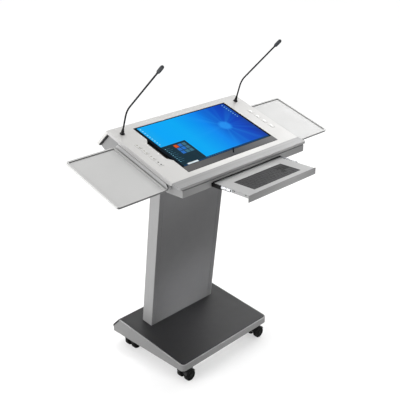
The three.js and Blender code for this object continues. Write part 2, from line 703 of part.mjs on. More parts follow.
function makeSlides() {
  const { half, y } = SLIDES.inner;
  const seat = rectangle(...SLIDE_SEAT, SLIDE_Z - half, SLIDE_Z + half);
  [['left', -1], ['right', 1]].forEach(([word, side]) => {
    Object.entries(SLIDES).forEach(([member, sizes]) => {
      const bare = channel(side, sizes);
      const backed = member === 'inner' ? bare.add(prismY(side > 0 ? seat : mirrored(seat), ...y)) : bare;
      put(lectern, `slide_${member}_${word}`, backed, sizes.finish);
    });
  });
}

function makeDrawer() {
  const { half, front, back, deck, bottom, sheet } = DRAWER;
  const frontY = front + FASCIA.thickness + GAP;
  const shell = block(-half, half, frontY, back, bottom, deck);
  const hollow = block(-half + sheet, half - sheet, frontY + sheet, back - sheet, bottom - 5, deck - sheet);
  const panFloor = deck - KEYBOARD.depth - GAP;
  const around = (margin, z0, z1) => block(-KEYBOARD.half - margin, KEYBOARD.half + margin,
    KEYBOARD.y0 - margin, KEYBOARD.y1 + margin, z0, z1);
  const pan = around(KEYBOARD.gap + sheet, panFloor - sheet, deck);
  const well = around(KEYBOARD.gap, panFloor, deck + 5);
  put(lectern, 'drawer_tray', shell.subtract(hollow).add(pan).subtract(well), 'silverPaint');

  const fascia = prismY(rectangle(-FASCIA.half, FASCIA.half, FASCIA.z0, FASCIA.z1, 2), front,
    front + FASCIA.thickness);
  put(lectern, 'drawer_fascia', fascia, 'brushed');

  const keyboard = prismZ(rectangle(-KEYBOARD.half, KEYBOARD.half, KEYBOARD.y0, KEYBOARD.y1, 1.5),
    deck - KEYBOARD.depth, deck - GAP);
  put(lectern, 'keyboard', keyboard, 'keyboard');
}

// ---------------------------------------------------------------- assembly
makeBase();
makeInlet();
makeCasters();
makeColumn();
makeCover();
makeFrontTrim();
makeConsoleBody();
makeRearPanel();
makeScreen();
makeKeys();
makeMicrophone('left', -1);
makeMicrophone('right', 1);
makeShelf('left', -1);
makeShelf('right', 1);
makeSlides();
makeDrawer();

export default lectern;
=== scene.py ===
"""Looks of a wheeled multimedia lectern: finishes, fine shapes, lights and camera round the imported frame."""

import math

import bmesh
import bpy
from mathutils import Matrix, Vector


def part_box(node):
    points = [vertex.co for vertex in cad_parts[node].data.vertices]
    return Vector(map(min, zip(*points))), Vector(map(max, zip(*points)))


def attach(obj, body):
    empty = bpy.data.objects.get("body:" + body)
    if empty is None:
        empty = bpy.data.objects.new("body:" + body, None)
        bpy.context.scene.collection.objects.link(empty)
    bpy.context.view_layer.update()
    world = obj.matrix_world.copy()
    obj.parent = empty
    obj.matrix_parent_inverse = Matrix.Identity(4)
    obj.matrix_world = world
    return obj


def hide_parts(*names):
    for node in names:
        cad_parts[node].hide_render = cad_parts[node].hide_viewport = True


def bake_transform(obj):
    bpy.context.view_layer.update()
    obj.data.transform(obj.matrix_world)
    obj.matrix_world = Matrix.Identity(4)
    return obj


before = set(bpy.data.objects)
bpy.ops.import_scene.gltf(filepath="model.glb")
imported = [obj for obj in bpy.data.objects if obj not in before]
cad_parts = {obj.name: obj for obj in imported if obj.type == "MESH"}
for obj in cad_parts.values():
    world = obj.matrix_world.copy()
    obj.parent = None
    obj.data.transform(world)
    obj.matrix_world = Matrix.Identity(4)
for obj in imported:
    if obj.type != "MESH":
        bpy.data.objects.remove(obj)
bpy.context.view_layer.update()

MM = 0.001

# ---------------------------------------------------------------- sizes shared with the frame, in metres
SLOPE = math.radians(17.84)  # of the console top
DESK = Matrix.Translation((0, -0.1387, 0.9223)) @ Matrix.Rotation(SLOPE, 4, "X")
SIDES = (("left", -1), ("right", 1))
CORNERS = ("front_left", "front_right", "rear_left", "rear_right")
COLUMN_LEAN = 0.1175  # how far the column leans forward per metre of height
COLUMN_FOOT_Y = 0.1977  # where the plane of its front panel would meet the floor
SLIDE_Z = 0.883  # the middle of the drawer slides
LIP_SHADE_LINE = SLIDE_Z - 0.0034  # below it a middle member's lower lip has a painted shadow

# ---------------------------------------------------------------- turns that place an outline or a lathe
UPRIGHT = Matrix(((1, 0, 0, 0), (0, 0, -1, 0), (0, 1, 0, 0), (0, 0, 0, 1)))  # outline (x, z), depth along -Y
SIDEWAYS = Matrix(((0, 0, 1, 0), (1, 0, 0, 0), (0, 1, 0, 0), (0, 0, 0, 1)))  # outline (y, z), depth along X
QUARTER_TURN = math.radians(90)

# ---------------------------------------------------------------- colours
LIGHT_PAINT = "#bab9b7"
# painted shade: the cover's side faces, darker than its top because of how light falls
COVER_SIDE_SHADE = "#acabaa"
SHELF_PAINT = "#b1b1b0"
# painted shade: the shelves' front faces
SHELF_EDGE_SHADE = "#4d4d4e"
SILVER_PAINT = "#868686"
CONSOLE_SILVER = "#7b7b7b"
BASE_SILVER = "#6f6f6f"
# painted highlight: the base tray's upward faces, lighter than its sides
BASE_LEDGE_HIGHLIGHT = "#9c9c9c"
TRAY_PAINT = "#a4a4a4"
# painted shade: the drawer tray's side faces
TRAY_SIDE_SHADE = "#8b8b8b"
RAIL_PAINT = "#b3b3b3"
BRUSHED = "#888888"
FASCIA = "#777777"
DARK_PAINT = "#5d5d5e"
BASE_PAINT = "#222223"
ZINC = "#d9dbde"
# painted shadow on the lower lip of a slide's middle member
LIP_SHADE = "#151515"
BLACK = "#0b0b0c"
CAGE_BLACK = "#060606"
HOUSING = "#333334"
MODULE_EDGE = "#5f5b58"
MIC_BLACK = "#0a0a0b"
# painted shade in the foam's pits, beside the foam's own colour
FOAM_PIT_SHADE, FOAM_SKIN = "#060607", "#34373b"
TYRE, TYRE_DUST = "#060606", "#131312"
KEY_PLASTIC = "#bbbab8"
KEY_PRINT = "#111113"
KEY_PRINT_FAINT = "#858275"
# painted highlight on the right keycaps
KEY_HIGHLIGHT = "#e8e8e6"
KEYBOARD_FRAME = "#232325"
KEYCAP = "#1d1d1f"
KEYCAP_BLACK = "#0e0e0f"
SCREEN_OFF = "#05070a"
FLOOR_LOW, FLOOR_HIGH = "#bababa", "#bdbdbd"


def on_both_sides(make):
    for side, sign in SIDES:
        make(side, sign)


def linear(code):
    """An sRGB hex colour as linear RGBA."""
    values = [int(code[i : i + 2], 16) / 255 for i in (1, 3, 5)]
    return [v / 12.92 if v <= 0.04045 else ((v + 0.055) / 1.055) ** 2.4 for v in values] + [1.0]


def shaded(code, factor):
    """The same colour with its linear value scaled."""
    return [min(1.0, v * factor) for v in linear(code)[:3]] + [1.0]


# ---------------------------------------------------------------- materials
GLASS_ROUGHNESS = 0.3  # the cover glass has an anti-glare etch
GLASS_IOR = 1.03  # and a coating that takes most of its reflection away


class Shader:
    """One Principled material, new or given, with short calls for the nodes that drive it."""

    def __init__(self, name, material=None):
        self.material = material or bpy.data.materials.new(name)
        self.material.use_nodes = True
        self.tree = self.material.node_tree
        self.surface = self.tree.nodes["Principled BSDF"]
        self.place = self.add("ShaderNodeTexCoord").outputs["Object"]

    def add(self, kind, **settings):
        node = self.tree.nodes.new(kind)
        for key, value in settings.items():
            setattr(node, key, value)
        return node

    def put(self, socket, value):
        """Links a socket to another node's output, or gives it a constant."""
        if isinstance(value, bpy.types.NodeSocket):
            self.tree.links.new(value, socket)
        else:
            socket.default_value = value

    def feed(self, node, **inputs):
        for key, value in inputs.items():
            self.put(node.inputs[key.replace("_", " ")], value)
        return node

    def fixed(self, **inputs):
        """Constant values on the surface's own sockets."""
        self.feed(self.surface, **inputs)
        return self

    def stretched(self, scale):
        node = self.add("ShaderNodeMapping")
        return self.feed(node, Vector=self.place, Scale=scale).outputs["Vector"]

    def noise(self, scale, detail=2.0, place=None, roughness=0.5):
        node = self.add("ShaderNodeTexNoise")
        self.feed(node, Vector=place or self.place, Scale=scale, Detail=detail, Roughness=roughness)
        return node.outputs["Fac"]

    def cells(self, scale, output="Distance"):
        node = self.add("ShaderNodeTexVoronoi")
        return self.feed(node, Vector=self.place, Scale=scale).outputs[output]

    def math(self, operation, a, b=0.0, clamp=False):
        node = self.add("ShaderNodeMath", operation=operation, use_clamp=clamp)
        self.put(node.inputs[0], a)
        self.put(node.inputs[1], b)
        return node.outputs[0]

    def span(self, value, low, high, to_low, to_high):
        """Maps a value from one range to another, held at the ends."""
        node = self.add("ShaderNodeMapRange")
        self.feed(node, Value=value, From_Min=low, From_Max=high, To_Min=to_low, To_Max=to_high)
        return node.outputs["Result"]

    def ramp(self, value, stops):
        node = self.add("ShaderNodeValToRGB")
        elements = node.color_ramp.elements
        while len(elements) < len(stops):
            elements.new(0.5)
        for element, (position, colour) in zip(elements, stops):
            element.position = position
            element.color = colour
        self.tree.links.new(value, node.inputs["Fac"])
        return node.outputs["Color"]

    def blend(self, factor, a, b):
        """A mix of two colours; the colour sockets of the Mix node are numbers 6 and 7."""
        node = self.add("ShaderNodeMix", data_type="RGBA")
        for index, value in ((0, factor), (6, a), (7, b)):
            self.put(node.inputs[index], value)
        return node.outputs[2]

    def axis(self, index):
        node = self.feed(self.add("ShaderNodeSeparateXYZ"), Vector=self.place)
        return node.outputs[index]

    def bump(self, height, strength, distance):
        node = self.feed(self.add("ShaderNodeBump"), Height=height, Strength=strength, Distance=distance)
        self.tree.links.new(node.outputs["Normal"], self.surface.inputs["Normal"])


def powder_coat(name, code, roughness, fleck=0.02, metallic=0.0, gloss=0.5):
    """Sprayed paint: faint orange peel, a fine fleck, slow changes of shade and a few dull handling marks."""
    cloud = 0.03  # how far the slow changes take the shade
    s = Shader(name)
    slow = s.noise(5.0, 3.0)
    fine = s.noise(2600.0, 1.0)
    shade = s.math("ADD", s.span(slow, 0.3, 0.7, -cloud, cloud), s.span(fine, 0.25, 0.75, -fleck, fleck))
    width = cloud + fleck
    shade = s.span(shade, -width, width, 0.0, 1.0)
    stops = ((0.0, shaded(code, 1 - width)), (1.0, shaded(code, 1 + width)))
    s.feed(s.surface, Base_Color=s.ramp(shade, stops))
    marks = s.noise(22.0, 5.0, roughness=0.65)
    s.feed(s.surface, Roughness=s.span(marks, 0.35, 0.75, roughness - 0.03, roughness + 0.07))
    s.fixed(Metallic=metallic, Specular_IOR_Level=gloss)
    s.bump(s.noise(420.0, 2.0), 0.05, 0.0002)
    return s.material


def facing_shade_coat(name, code, facing_shade_code, axis, sign, roughness=0.36, **options):
    """Paint with painted light on the faces that look along an axis: their other shade is a painted shade or
    painted highlight; sign 0 takes both ways.
    """
    material = powder_coat(name, code, roughness, **options)
    s = Shader(name, material)
    paint = s.surface.inputs["Base Color"].links[0].from_socket
    normal = s.feed(s.add("ShaderNodeSeparateXYZ"), Vector=s.add("ShaderNodeTexCoord").outputs["Normal"])
    along = normal.outputs[axis]
    along = s.math("ABSOLUTE", along) if sign == 0 else s.math("MULTIPLY", along, sign)
    # painted light: how much of the painted shade or highlight a face takes, by the way it faces
    share = s.span(along, 0.5, 0.7, 0.0, 1.0)
    grain = s.ramp(s.noise(300.0, 3.0), ((0.3, shaded(facing_shade_code, 0.92)), (0.7, shaded(facing_shade_code, 1.08))))
    s.feed(s.surface, Base_Color=s.blend(share, paint, grain))
    return material


def brushed_metal(name, code, roughness):
    """Metal brushed along X: long fine streaks in shade, gloss and relief, over broader ones in shade."""
    s = Shader(name)
    streaks = s.noise(1.0, 4.0, place=s.stretched((2.0, 1500.0, 1500.0)))
    broad = s.noise(1.0, 3.0, place=s.stretched((1.2, 240.0, 240.0)))
    slow = s.noise(7.0, 2.0)
    mixed = s.math("ADD", s.math("MULTIPLY", streaks, 0.35), s.math("MULTIPLY", slow, 0.1))
    mixed = s.math("ADD", mixed, s.math("MULTIPLY", broad, 0.55))
    s.feed(s.surface, Base_Color=s.ramp(mixed, ((0.35, shaded(code, 0.80)), (0.65, shaded(code, 1.18)))))
    s.feed(s.surface, Roughness=s.span(streaks, 0.3, 0.7, roughness - 0.06, roughness + 0.08))
    s.fixed(Metallic=0.3)
    s.bump(streaks, 0.12, 0.0001)
    return s.material


def moulded_plastic(name, code, roughness, grain=900.0, depth=0.25, gloss=0.5):
    """Moulded plastic with a fine spark-eroded grain and faint polish where it is handled."""
    s = Shader(name)
    fine = s.cells(grain)
    slow = s.noise(30.0, 3.0)
    s.feed(s.surface, Base_Color=s.ramp(slow, ((0.3, shaded(code, 0.85)), (0.7, shaded(code, 1.2)))))
    s.feed(s.surface, Roughness=s.span(slow, 0.3, 0.7, roughness - 0.05, roughness + 0.06))
    s.fixed(Specular_IOR_Level=gloss)
    s.bump(fine, depth, 0.0001)
    return s.material


def rubber(name, code, roughness):
    """Tread rubber: dull, dusty in patches, with a slight skin texture."""
    s = Shader(name)
    dust = s.noise(140.0, 6.0, roughness=0.7)
    s.feed(s.surface, Base_Color=s.ramp(dust, ((0.45, shaded(code, 1.0)), (0.8, linear(TYRE_DUST)))))
    s.fixed(Specular_IOR_Level=0.12)
    s.feed(s.surface, Roughness=s.span(dust, 0.4, 0.8, roughness, roughness + 0.2))
    s.bump(s.noise(900.0, 3.0), 0.3, 0.0002)
    return s.material


def zinc_plate(name, shade_below=-1.0):
    """Bright zinc with small crystal patches and drawn lines, and a dark painted shadow on what lies below a
    height.
    """
    s = Shader(name)
    patch = s.cells(260.0, "Color")
    level = s.feed(s.add("ShaderNodeSeparateColor"), Color=patch).outputs[0]
    zinc = s.ramp(level, ((0.0, shaded(ZINC, 0.8)), (1.0, shaded(ZINC, 1.08))))
    edge = 0.2 * MM  # over which the painted shadow fades out
    lip_shade = s.span(s.axis(2), shade_below - edge, shade_below + edge, 1.0, 0.0)
    s.feed(s.surface, Base_Color=s.blend(lip_shade, zinc, linear(LIP_SHADE)))
    s.feed(s.surface, Roughness=s.span(level, 0.0, 1.0, 0.22, 0.36))
    s.fixed(Metallic=0.85)
    s.bump(s.noise(1.0, 3.0, place=s.stretched((1200.0, 4.0, 1200.0))), 0.15, 0.0001)
    return s.material


def behind_glass(name, **inputs):
    """A surface seen through the coated cover glass."""
    return Shader(name).fixed(Roughness=GLASS_ROUGHNESS, IOR=GLASS_IOR, **inputs)


def lit(name, code):
    """A lit area of the screen, with the faint unevenness of a backlight."""
    s = behind_glass(name, Base_Color=linear(SCREEN_OFF), Emission_Strength=1.0)
    stops = ((0.3, shaded(code, 0.92)), (0.7, shaded(code, 1.08)))
    s.feed(s.surface, Emission_Color=s.ramp(s.noise(60.0, 2.0), stops))
    return s.material


WALLPAPER_HALF = 0.25  # the colours run over this much each side of the middle
WALLPAPER_STOPS = (
    (0.0, "#1aa8ea"),
    (0.14, "#04a6f8"),
    (0.36, "#02a8f4"),
    (0.50, "#0096f0"),
    (0.60, "#0487ee"),
    (0.70, "#0567d2"),
    (0.80, "#0550c6"),
    (0.90, "#063fb8"),
    (1.0, "#0f3694"),
)
GLOW_X, GLOW_V = 0.118, 0.196


def wallpaper():
    """The picture on the screen: plain blue light that deepens to one side, with soft rays round a glow."""
    s = behind_glass("screen_wallpaper", Base_Color=linear(SCREEN_OFF), Emission_Strength=1.0)
    x, v = s.axis(0), s.axis(1)
    across = s.span(x, -WALLPAPER_HALF, WALLPAPER_HALF, 0.0, 1.0)
    base = s.ramp(across, [(place, linear(code)) for place, code in WALLPAPER_STOPS])
    dx = s.math("SUBTRACT", x, GLOW_X)
    dv = s.math("SUBTRACT", v, GLOW_V)
    angle = s.math("ARCTAN2", dv, dx)
    distance = s.math("SQRT", s.math("ADD", s.math("MULTIPLY", dx, dx), s.math("MULTIPLY", dv, dv)))
    ray_place = s.feed(s.add("ShaderNodeCombineXYZ"), X=angle).outputs[0]
    rays = s.span(s.noise(2.4, 1.5, place=ray_place), 0.45, 0.7, 0.0, 0.20)
    fade = s.span(distance, 0.02, 0.26, 1.0, 0.0)
    with_rays = s.blend(s.math("MULTIPLY", rays, fade, clamp=True), base, linear("#2fb4ff"))
    core = s.span(distance, 0.020, 0.034, 0.62, 0.0)
    s.feed(s.surface, Emission_Color=s.blend(core, with_rays, linear("#2aa0ff")))
    return s.material


def screen_border():
    """The black print round the picture, with a faint smudge pattern."""
    s = behind_glass("screen_border")
    smudge = s.noise(45.0, 4.0)
    s.feed(s.surface, Base_Color=s.ramp(smudge, ((0.3, linear("#0c1218")), (0.7, linear("#161f27")))))
    return s.material


def screen_strip():
    """The printed border below the picture: a warm grey that lightens towards both ends."""
    s = behind_glass("screen_strip")
    speckle = s.span(s.noise(900.0), 0.3, 0.7, 0.46, 0.54)
    shade = s.math("ADD", s.math("MULTIPLY", s.axis(0), 1.9), speckle)
    stops = ((0.0, linear("#5e5d5d")), (0.5, linear("#4b4c4d")), (1.0, linear("#747475")))
    s.feed(s.surface, Base_Color=s.ramp(shade, stops))
    return s.material


def foam(name):
    """Windscreen foam: open cells in relief, with painted shade in their pits."""
    s = Shader(name)
    cell = s.cells(700.0)
    s.feed(s.surface, Base_Color=s.ramp(cell, ((0.05, linear(FOAM_PIT_SHADE)), (0.6, linear(FOAM_SKIN)))))
    s.fixed(Roughness=0.75)
    s.bump(cell, 0.6, 0.0005)
    return s.material


SILVER = {"fleck": 0.03, "metallic": 0.1}  # what every silver paint has beside its shade
PAINT = {
    "light": powder_coat("paint_light", LIGHT_PAINT, 0.36),
    "cover": facing_shade_coat("paint_cover", LIGHT_PAINT, COVER_SIDE_SHADE, 0, 0),
    "shelf": facing_shade_coat("paint_shelf", SHELF_PAINT, SHELF_EDGE_SHADE, 1, -1),
    "rail": powder_coat("paint_rail", RAIL_PAINT, 0.36, fleck=0.03),
    "base_silver": facing_shade_coat("paint_base_silver", BASE_SILVER, BASE_LEDGE_HIGHLIGHT, 2, 1, roughness=0.42, **SILVER),
    "console_silver": powder_coat("paint_console_silver", CONSOLE_SILVER, 0.42, **SILVER),
    "silver": powder_coat("paint_silver", SILVER_PAINT, 0.42, **SILVER),
    "tray": facing_shade_coat("paint_tray", TRAY_PAINT, TRAY_SIDE_SHADE, 0, 0, roughness=0.40, **SILVER),
    "dark": powder_coat("paint_dark", DARK_PAINT, 0.55, fleck=0.03, gloss=0.25),
    "base": powder_coat("paint_base", BASE_PAINT, 0.42, fleck=0.04, gloss=0.28),
    "brushed": brushed_metal("metal_brushed", BRUSHED, 0.42),
    "brushed_fascia": brushed_metal("metal_brushed_fascia", FASCIA, 0.42),
    "zinc": zinc_plate("metal_zinc"),
    "zinc_shaded_lip": zinc_plate("metal_zinc_shaded_lip", shade_below=LIP_SHADE_LINE),
    "black": moulded_plastic("plastic_black", BLACK, 0.40, gloss=0.25),
    "cage": moulded_plastic("plastic_cage", CAGE_BLACK, 0.6, gloss=0.15),
    "housing": moulded_plastic("plastic_housing", HOUSING, 0.5),
    "module": moulded_plastic("plastic_module", MODULE_EDGE, 0.5),
    "mic": moulded_plastic("coat_black", MIC_BLACK, 0.45, grain=1500.0, depth=0.15, gloss=0.25),
    "foam": foam("foam_black"),
    "tyre": rubber("rubber_tyre", TYRE, 0.5),
    "key": powder_coat("plastic_key", KEY_PLASTIC, 0.34),
    "key_mark": moulded_plastic("print_dark", KEY_PRINT, 0.45),
    "key_mark_faint": moulded_plastic("print_faint", KEY_PRINT_FAINT, 0.45),
    "key_highlight": moulded_plastic("painted_highlight_white", KEY_HIGHLIGHT, 0.25),
    "keyboard": moulded_plastic("keyboard_frame", KEYBOARD_FRAME, 0.55, gloss=0.35),
    "keycap": moulded_plastic("keyboard_keys", KEYCAP, 0.50, grain=1300.0, gloss=0.35),
    "keycap_black": moulded_plastic("keyboard_keys_dark", KEYCAP_BLACK, 0.50, grain=1300.0, gloss=0.2),
    "bezel": screen_border(),
    "strip": screen_strip(),
    "wallpaper": wallpaper(),
    "tick": lit("screen_tick", "#020203"),
    "panel": lit("screen_panel", "#1a323d"),
    "bar": lit("screen_bar", "#10406b"),
    "white": lit("screen_white", "#d8e2e6"),
    "icon": lit("screen_icon", "#8fd8f8"),
    "icon_dim": lit("screen_icon_dim", "#3f6f86"),
    "orange": lit("screen_orange", "#d8541c"),
    "blue": lit("screen_blue", "#2a6fc4"),
}


# ---------------------------------------------------------------- mesh helpers
def ring_point(radius, angle, height):
    return Vector((radius * math.cos(angle), radius * math.sin(angle), height))


def add_lathe(bm, profile, sides, matrix=Matrix()):
    """Turns a (radius, height) profile about Z; a radius of 0 closes an end, equal ends close a ring."""
    closed = profile[0] == profile[-1] and profile[0][0] > 0
    points = profile[:-1] if closed else profile
    loops = []
    for radius, height in points:
        if radius == 0:
            loops.append([bm.verts.new(matrix @ Vector((0, 0, height)))])
            continue
        angles = [2 * math.pi * i / sides for i in range(sides)]
        loops.append([bm.verts.new(matrix @ ring_point(radius, a, height)) for a in angles])
    pairs = list(zip(loops, loops[1:]))
    if closed:
        pairs.append((loops[-1], loops[0]))
    for low, high in pairs:
        for i in range(sides):
            j = (i + 1) % sides
            corners = [low[i % len(low)], low[j % len(low)], high[j % len(high)], high[i % len(high)]]
            unique = list(dict.fromkeys(corners))
            if len(unique) > 2:
                bm.faces.new(unique)


def add_box(bm, low, high, matrix=Matrix()):
    """An axis-aligned box between two corners, as one closed body."""
    xs, ys, zs = zip(low, high)
    corners = [bm.verts.new(matrix @ Vector((x, y, z))) for z in zs for y in ys for x in xs]
    for face in ((0, 2, 3, 1), (4, 5, 7, 6), (0, 1, 5, 4), (2, 6, 7, 3), (0, 4, 6, 2), (1, 3, 7, 5)):
        bm.faces.new([corners[i] for i in face])


def add_slab(bm, outline, z0, z1, matrix=Matrix(), material=0, taper=0.0):
    """An outline in (x, y) given depth from z0 to z1; taper pulls the top in, in metres."""
    centre = sum((Vector(p) for p in outline), Vector((0, 0))) / len(outline)
    low = [bm.verts.new(matrix @ Vector((x, y, z0))) for x, y in outline]
    high = []
    for x, y in outline:
        inward = (centre - Vector((x, y))).normalized() * taper
        high.append(bm.verts.new(matrix @ Vector((x + inward.x, y + inward.y, z1))))
    count = len(outline)
    for i in range(count):
        j = (i + 1) % count
        bm.faces.new((low[i], low[j], high[j], high[i])).material_index = material
    bm.faces.new(high).material_index = material
    bm.faces.new(low[::-1]).material_index = material


def arc(x, y, radius, start, end, steps):
    """Points along an arc about (x, y), with its ends in degrees."""
    angles = [math.radians(start + (end - start) * k / steps) for k in range(steps + 1)]
    return [(x + radius * math.cos(a), y + radius * math.sin(a)) for a in angles]


def rounded_rectangle(x0, x1, y0, y1, radius, steps=6):
    """Outline of a rectangle with rounded corners, counter-clockwise."""
    centres = ((x1 - radius, y0 + radius, -90), (x1 - radius, y1 - radius, 0))
    centres += ((x0 + radius, y1 - radius, 90), (x0 + radius, y0 + radius, 180))
    points = []
    for x, y, start in centres:
        points += arc(x, y, radius, start, start + 90, steps)
    return points


def arched_band(x, y, inner, outer, start, end, steps):
    """Outline of a band between two arcs about the same centre."""
    return arc(x, y, outer, start, end, steps) + arc(x, y, inner, start, end, steps)[::-1]


def in_metres(profile):
    return [(a * MM, b * MM) for a, b in profile]


def add_tube(bm, path, radii, sides):
    """A round tube through the points of path with a radius at each, closed at both ends."""
    normal = Vector((1, 0, 0))
    rings = []
    for i, point in enumerate(path):
        ahead = path[min(i + 1, len(path) - 1)] - path[max(i - 1, 0)]
        tangent = ahead.normalized()
        normal = (normal - tangent * normal.dot(tangent)).normalized()
        across = tangent.cross(normal)
        ring = []
        for k in range(sides):
            angle = 2 * math.pi * k / sides
            offset = normal * math.cos(angle) + across * math.sin(angle)
            ring.append(bm.verts.new(point + offset * radii[i]))
        rings.append(ring)
    for low, high in zip(rings, rings[1:]):
        for k in range(sides):
            j = (k + 1) % sides
            bm.faces.new((low[k], low[j], high[j], high[k]))
    bm.faces.new(rings[0][::-1])
    bm.faces.new(rings[-1])


def piece(name, bm, body, paints, stands_for=(), bevel=0.0, world=Matrix()):
    """Turns a bmesh into a piece of the lectern that rides on a body and takes the place of CAD nodes."""
    bmesh.ops.recalc_face_normals(bm, faces=bm.faces)
    mesh = bpy.data.meshes.new(name)
    bm.to_mesh(mesh)
    bm.free()
    for paint in paints:
        mesh.materials.append(PAINT[paint])
    thing = bpy.data.objects.new(name, mesh)
    bpy.context.scene.collection.objects.link(thing)
    thing.matrix_world = world
    soften(thing, bevel)
    if body:
        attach(thing, body)
    if stands_for:
        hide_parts(*stands_for)
    return thing


def soften(thing, width):
    """Rounds the edges of a piece and shades its curves smoothly."""
    mesh = thing.data
    mesh.polygons.foreach_set("use_smooth", [True] * len(mesh.polygons))
    if not width:
        mark_sharp_edges(mesh)
        return
    edge = thing.modifiers.new("edges", "BEVEL")
    edge.width = width
    edge.segments = 2
    edge.limit_method = "ANGLE"
    edge.angle_limit = math.radians(32)
    edge.harden_normals = True
    edge.use_clamp_overlap = True


def mark_sharp_edges(mesh, limit=math.radians(35)):
    bm = bmesh.new()
    bm.from_mesh(mesh)
    for edge in bm.edges:
        edge.smooth = len(edge.link_faces) == 2 and edge.calc_face_angle() < limit
    bm.to_mesh(mesh)
    bm.free()


def finish_node(node, paint, width):
    """Gives a CAD node its paint, and rounds its edges without touching its own vertices."""
    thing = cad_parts[node]
    own_normals = thing.data.attributes.get("custom_normal")
    if own_normals:
        thing.data.attributes.remove(own_normals)
    thing.data.materials.clear()
    thing.data.materials.append(PAINT[paint])
    thing.modifiers.new("weld", "WELD").merge_threshold = 0.01 * MM
    flat = thing.modifiers.new("flat", "DECIMATE")
    flat.decimate_type = "DISSOLVE"
    flat.angle_limit = math.radians(0.5)
    soften(thing, width)


# ---------------------------------------------------------------- sheet metal that keeps its CAD shape
FINISHES = {  # paint, and width of the rounded edges in mm
    "base_tray": ("base_silver", 1.6),
    "base_top_plate": ("base", 0.8),
    "power_inlet": ("black", 0.4),
    "column_shell": ("silver", 0.9),
    "column_rear_cover": ("silver", 0.6),
    "console_body": ("console_silver", 1.0),
    "console_top_cover": ("cover", 0.9),
    "console_front_trim": ("brushed", 1.0),
    "console_rear_panel": ("light", 1.5),
    "console_rear_gasket": ("black", 0.5),
    "display_module": ("module", 0.6),
    "shelf_left": ("shelf", 0.9),
    "shelf_right": ("shelf", 0.9),
    "shelf_rail_left": ("rail", 0.8),
    "shelf_rail_right": ("rail", 0.8),
    "drawer_tray": ("tray", 0.6),
    "drawer_fascia": ("brushed_fascia", 0.7),
}
for side, _ in SIDES:
    FINISHES[f"slide_outer_{side}"] = ("zinc", 0.25)
    FINISHES[f"slide_middle_{side}"] = ("zinc_shaded_lip", 0.25)
    FINISHES[f"slide_inner_{side}"] = ("zinc", 0.25)
FINISHES["slide_cage_left"] = ("cage", 0.2)
FINISHES["slide_cage_right"] = ("zinc", 0.2)

for node, (paint, width) in FINISHES.items():
    finish_node(node, paint, width * MM)


# ---------------------------------------------------------------- column front panel with its two seams
PANEL_THICKNESS = 0.003
SEAM_X, SEAM_HALF, SEAM_DEPTH = 0.1625, 0.0009, 0.0007
FOOT_CUT = 0.9  # slope of the foot, as a share of the panel's own lean


def panel_section(half):
    """Section of the panel as (x, out): a flat front with a shallow groove at each seam."""
    section = [(-half, 0)]
    for seam in (-SEAM_X, SEAM_X):
        section += [(seam - SEAM_HALF, 0), (seam, -SEAM_DEPTH), (seam + SEAM_HALF, 0)]
    return section + [(half, 0), (half, -PANEL_THICKNESS), (-half, -PANEL_THICKNESS)]


def make_column_panel():
    """The leaning panel: its foot is cut on a slope, and its top is cut level."""
    low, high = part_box("column_front_panel")
    height = high.z - low.z
    foot = Vector((0, COLUMN_FOOT_Y - COLUMN_LEAN * low.z, low.z))
    head = foot + Vector((0, -COLUMN_LEAN, 1.0)) * height
    out = Vector((0, -1.0, -COLUMN_LEAN)).normalized()
    foot_slope = FOOT_CUT * (high.y - low.y) / height
    bm = bmesh.new()
    bottom, top = [], []
    for x, depth in panel_section(high.x):
        low_point = foot + out * depth
        low_point.z += (low_point.y - foot.y) * foot_slope
        high_point = head + out * depth
        bottom.append(bm.verts.new((x, low_point.y, low_point.z)))
        top.append(bm.verts.new((x, high_point.y, min(high_point.z, high.z))))
    count = len(bottom)
    for i in range(count):
        j = (i + 1) % count
        bm.faces.new((bottom[i], bottom[j], top[j], top[i]))
    bm.faces.new(bottom[::-1])
    bm.faces.new(top)
    piece("column_panel", bm, "stand", ["dark"], ["column_front_panel"])


make_column_panel()


# ---------------------------------------------------------------- touch screen
GLASS_HALF, GLASS_FRONT, GLASS_REAR = 0.250, 0.0239, 0.3317
GLASS_TOP, GLASS_BOTTOM = 0.0006, -0.0034
GLASS_RIM = 0.001  # of bare black round the printed border
STRIP_REAR = 0.0555
PICTURE = (-0.2383, 0.2383, 0.0578, 0.3259)
MENU_RIGHT, MENU_REAR = -0.117, 0.187
SCREEN_PAINTS = ["bezel", "tick", "strip", "wallpaper", "panel", "bar", "white"]
SCREEN_PAINTS += ["icon", "icon_dim", "orange", "blue"]
TILES = ("orange", "blue", "icon_dim", "blue", "blue", "icon_dim", "blue", "icon_dim", "icon_dim")


